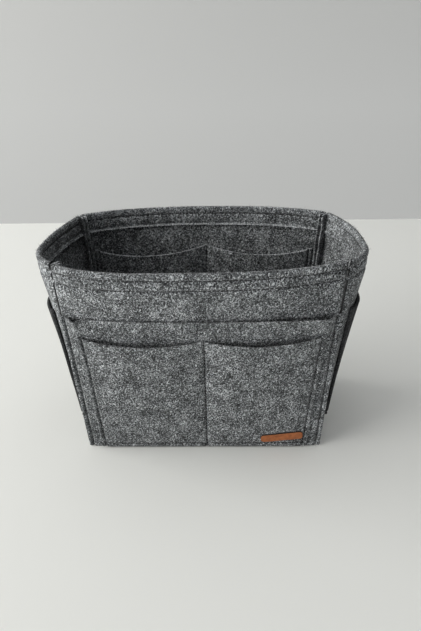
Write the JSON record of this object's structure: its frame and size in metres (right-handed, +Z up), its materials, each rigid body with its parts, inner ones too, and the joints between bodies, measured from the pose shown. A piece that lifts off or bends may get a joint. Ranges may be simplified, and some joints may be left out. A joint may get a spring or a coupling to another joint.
{
  "type": "purse organizer insert",
  "caption": "Open-topped felt purse organizer insert: hemmed walls sewn at the corners round a base, with stitched-on felt pockets outside and inside and a bare leather label.",
  "frame": {"origin": "under the middle of the base, on the surface that the insert stands on", "axes": "+X to the right along the long front, the front with the label faces -Y, +Z up out of the open top"},
  "size_m": [0.2938, 0.1574, 0.2],
  "materials": {
    "felt": "heather charcoal-grey needled felt, matt and slightly fuzzy",
    "black_felt": "black needled felt, matt and slightly fuzzy",
    "thread": "dark grey sewing thread, dull",
    "leather": "tan-brown smooth leather, semi-matt"
  },
  "bodies": {
    "shell": {"front_wall": "felt", "back_wall": "felt", "left_end_wall": "felt", "right_end_wall": "felt", "base_panel": "felt", "front_hem_upper_stitching": "thread", "front_hem_lower_stitching": "thread", "back_hem_upper_stitching": "thread", "back_hem_lower_stitching": "thread", "left_end_hem_upper_stitching": "thread", "left_end_hem_lower_stitching": "thread", "right_end_hem_upper_stitching": "thread", "right_end_hem_lower_stitching": "thread", "back_base_stitching": "thread", "left_end_base_stitching": "thread", "right_end_base_stitching": "thread", "inner_middle_stitching": "thread"},
    "large_pocket": {"front_large_pocket": "felt", "front_large_pocket_left_stitching": "thread", "front_large_pocket_right_stitching": "thread", "front_middle_stitching": "thread"},
    "left_pocket": {"front_left_pocket": "felt", "front_left_pocket_side_stitching": "thread", "front_left_pocket_bottom_stitching": "thread"},
    "right_pocket": {"front_right_pocket": "felt", "front_right_pocket_side_stitching": "thread", "front_right_pocket_bottom_stitching": "thread", "leather_label": "leather"},
    "left_end": {"left_end_pocket": "black_felt", "left_end_pocket_stitching": "thread"},
    "right_end": {"right_end_pocket": "black_felt", "right_end_pocket_stitching": "thread"},
    "inner_left": {"inner_left_pocket": "felt", "inner_left_pocket_side_stitching": "thread"},
    "inner_right": {"inner_right_pocket": "felt", "inner_right_pocket_side_stitching": "thread"}
  },
  "joints": [
    {"name": "large_pocket_opens", "type": "hinge", "parent": "shell", "child": "large_pocket", "pos_m": [0, -0.0599, 0.0015], "axis": [1, 0, 0], "range_deg": [0, 3], "stiffness_Nm_per_rad": 1},
    {"name": "left_pocket_opens", "type": "hinge", "parent": "large_pocket", "child": "left_pocket", "pos_m": [0, -0.0623, 0.0015], "axis": [1, 0, 0], "range_deg": [0, 6], "stiffness_Nm_per_rad": 0.5},
    {"name": "right_pocket_opens", "type": "hinge", "parent": "large_pocket", "child": "right_pocket", "pos_m": [0, -0.0623, 0.0015], "axis": [1, 0, 0], "range_deg": [0, 6], "stiffness_Nm_per_rad": 0.5},
    {"name": "left_end_opens", "type": "hinge", "parent": "shell", "child": "left_end", "pos_m": [-0.1197, 0, 0.03], "axis": [0, -1, 0], "range_deg": [0, 6], "stiffness_Nm_per_rad": 0.5},
    {"name": "right_end_opens", "type": "hinge", "parent": "shell", "child": "right_end", "pos_m": [0.1197, 0, 0.03], "axis": [0, 1, 0], "range_deg": [0, 6], "stiffness_Nm_per_rad": 0.5},
    {"name": "inner_left_opens", "type": "hinge", "parent": "shell", "child": "inner_left", "pos_m": [0, 0.0531, 0.0124], "axis": [1, 0, 0], "range_deg": [0, 5], "stiffness_Nm_per_rad": 0.5},
    {"name": "inner_right_opens", "type": "hinge", "parent": "shell", "child": "inner_right", "pos_m": [0, 0.0531, 0.0124], "axis": [1, 0, 0], "range_deg": [0, 5], "stiffness_Nm_per_rad": 0.5}
  ]
}
